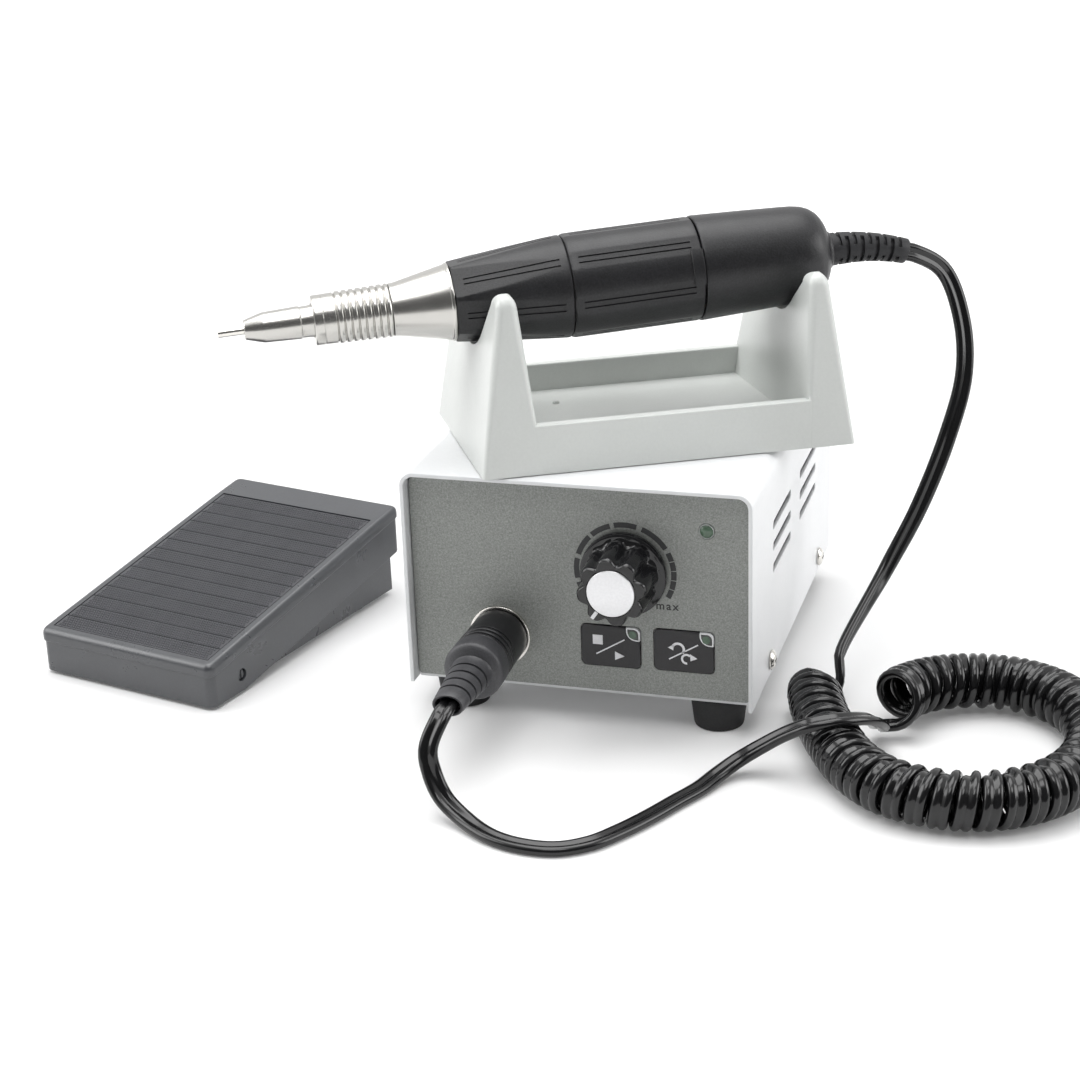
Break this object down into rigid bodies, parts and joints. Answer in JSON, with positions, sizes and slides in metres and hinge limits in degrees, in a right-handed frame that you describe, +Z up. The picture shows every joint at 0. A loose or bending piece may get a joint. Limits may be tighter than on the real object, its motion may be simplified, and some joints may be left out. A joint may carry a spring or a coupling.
{
  "type": "dental lab micromotor",
  "caption": "bench micromotor: control box with speed knob and keys, motor handpiece lying in a cradle on top, curly motor cord and a foot pedal",
  "frame": {"origin": "on the surface it stands on, under the middle of the box round the control box, cradle, handpiece and pedal", "axes": "+Z up, the control box's front panel faces -Y, +X to the right seen from the front"},
  "size_m": [0.3126, 0.201, 0.1348],
  "materials": {
    "white_coat": "white powder coat, half gloss",
    "panel_grey": "fine grained grey panel film",
    "black_rubber": "matt black rubber",
    "plated_steel": "bright nickel plate",
    "black_moulding": "black moulded plastic",
    "gloss_black": "polished black plastic",
    "spun_aluminium": "spun face",
    "lamp_lens": "clear tinted lens with a white surround",
    "board_green": "solder mask",
    "core_iron": "dark laminated iron and ferrite",
    "winding_copper": "enamelled copper winding",
    "cradle_plastic": "pale grey satin moulding",
    "turned_steel": "fine turned satin steel",
    "handpiece_black": "fine grained black moulding",
    "brass_fittings": "plain brass",
    "pedal_plastic": "charcoal moulded plastic, knurled pad",
    "cord_jacket": "glossy black vinyl"
  },
  "bodies": {
    "root": {"base_chassis": "white_coat", "top_cover": "white_coat", "front_panel": "panel_grey", "foot_front_left": "black_rubber", "foot_front_right": "black_rubber", "foot_rear_left": "black_rubber", "foot_rear_right": "black_rubber", "cover_screw_front_left": "plated_steel", "cover_screw_front_right": "plated_steel", "cover_screw_rear_left": "plated_steel", "cover_screw_rear_right": "plated_steel", "motor_socket": "plated_steel", "motor_plug": "black_moulding", "potentiometer": "plated_steel", "start_stop_lamp": "lamp_lens", "direction_lamp": "lamp_lens", "power_lamp": "lamp_lens", "circuit_board": "board_green", "transformer_core": "core_iron", "transformer_coil": "winding_copper", "mains_inlet": "black_moulding", "power_switch_frame": "black_moulding", "fuse_holder": "black_moulding", "pedal_jack": "plated_steel", "handpiece_cradle": "cradle_plastic", "pedal_base": "pedal_plastic", "hinge_pin": "plated_steel", "return_spring": "plated_steel", "micro_switch": "black_moulding", "pedal_foot_left": "black_rubber", "pedal_foot_right": "black_rubber", "handpiece_lead": "cord_jacket", "curly_cord": "cord_jacket", "plug_lead": "cord_jacket"},
    "speed_control": {"speed_knob": "gloss_black", "knob_cap": "spun_aluminium", "potentiometer_shaft": "plated_steel"},
    "start_stop": {"start_stop_key": "gloss_black"},
    "direction": {"direction_key": "gloss_black"},
    "rocker": {"power_rocker": "gloss_black"},
    "treadle": {"treadle_cover": "pedal_plastic", "tread_pad": "pedal_plastic"},
    "handpiece": {"nose": "turned_steel", "front_sleeve": "turned_steel", "grip_shell": "handpiece_black", "middle_casing": "handpiece_black", "rear_cap": "handpiece_black", "strain_relief": "black_rubber", "front_bearing": "plated_steel", "rear_bearing": "plated_steel", "motor_bearing": "plated_steel", "magnet_ring": "core_iron", "brush_ring": "brass_fittings"},
    "chuck": {"chuck_ring": "turned_steel"},
    "drive": {"spindle": "turned_steel", "coupling": "brass_fittings", "rotor": "winding_copper"},
    "clamp": {"collet": "turned_steel"},
    "tool": {"test_pin": "plated_steel"}
  },
  "joints": [
    {"name": "speed_knob_turn", "type": "hinge", "parent": "root", "child": "speed_control", "pos_m": [0.05794, -0.05545, 0.047], "axis": [0, 1, 0], "range_deg": [0, 290]},
    {"name": "start_stop_press", "type": "slide", "parent": "root", "child": "start_stop", "axis": [0, 1, 0], "range_m": [0, 0.0004], "stiffness_N_per_m": 600, "springref_m": -0.0004},
    {"name": "direction_press", "type": "slide", "parent": "root", "child": "direction", "axis": [0, 1, 0], "range_m": [0, 0.0004], "stiffness_N_per_m": 600, "springref_m": -0.0004},
    {"name": "power_rock", "type": "hinge", "parent": "root", "child": "rocker", "pos_m": [0.04664, 0.06465, 0.028], "axis": [1, 0, 0], "range_deg": [0, 14]},
    {"name": "treadle_press", "type": "hinge", "parent": "root", "child": "treadle", "pos_m": [-0.11866, -0.04188, 0.006], "axis": [-0.9707, 0.2402, 0], "range_deg": [0, 4.2], "stiffness_Nm_per_rad": 4, "springref_deg": -2.86, "deforming": ["return_spring"]},
    {"name": "handpiece_lift", "type": "slide", "parent": "root", "child": "handpiece", "axis": [0, 0, 1], "range_m": [0, 0.05]},
    {"name": "chuck_twist", "type": "hinge", "parent": "handpiece", "child": "chuck", "pos_m": [-0.04443, -0.06112, 0.11148], "axis": [0.8866, 0.4596, 0.0529], "range_deg": [0, 60]},
    {"name": "spindle_spin", "type": "hinge", "parent": "handpiece", "child": "drive", "pos_m": [-0.04443, -0.06112, 0.11148], "axis": [0.8866, 0.4596, 0.0529], "continuous": true},
    {"name": "collet_slide", "type": "slide", "parent": "drive", "child": "clamp", "axis": [0.8866, 0.4596, 0.0529], "range_m": [0, 0.001]},
    {"name": "pin_pull", "type": "slide", "parent": "drive", "child": "tool", "axis": [-0.8866, -0.4596, -0.0529], "range_m": [0, 0.018]}
  ],
  "couplings": [
    {"joint": "chuck_twist", "follows": "collet_slide", "rad_per_m": 1040}
  ]
}
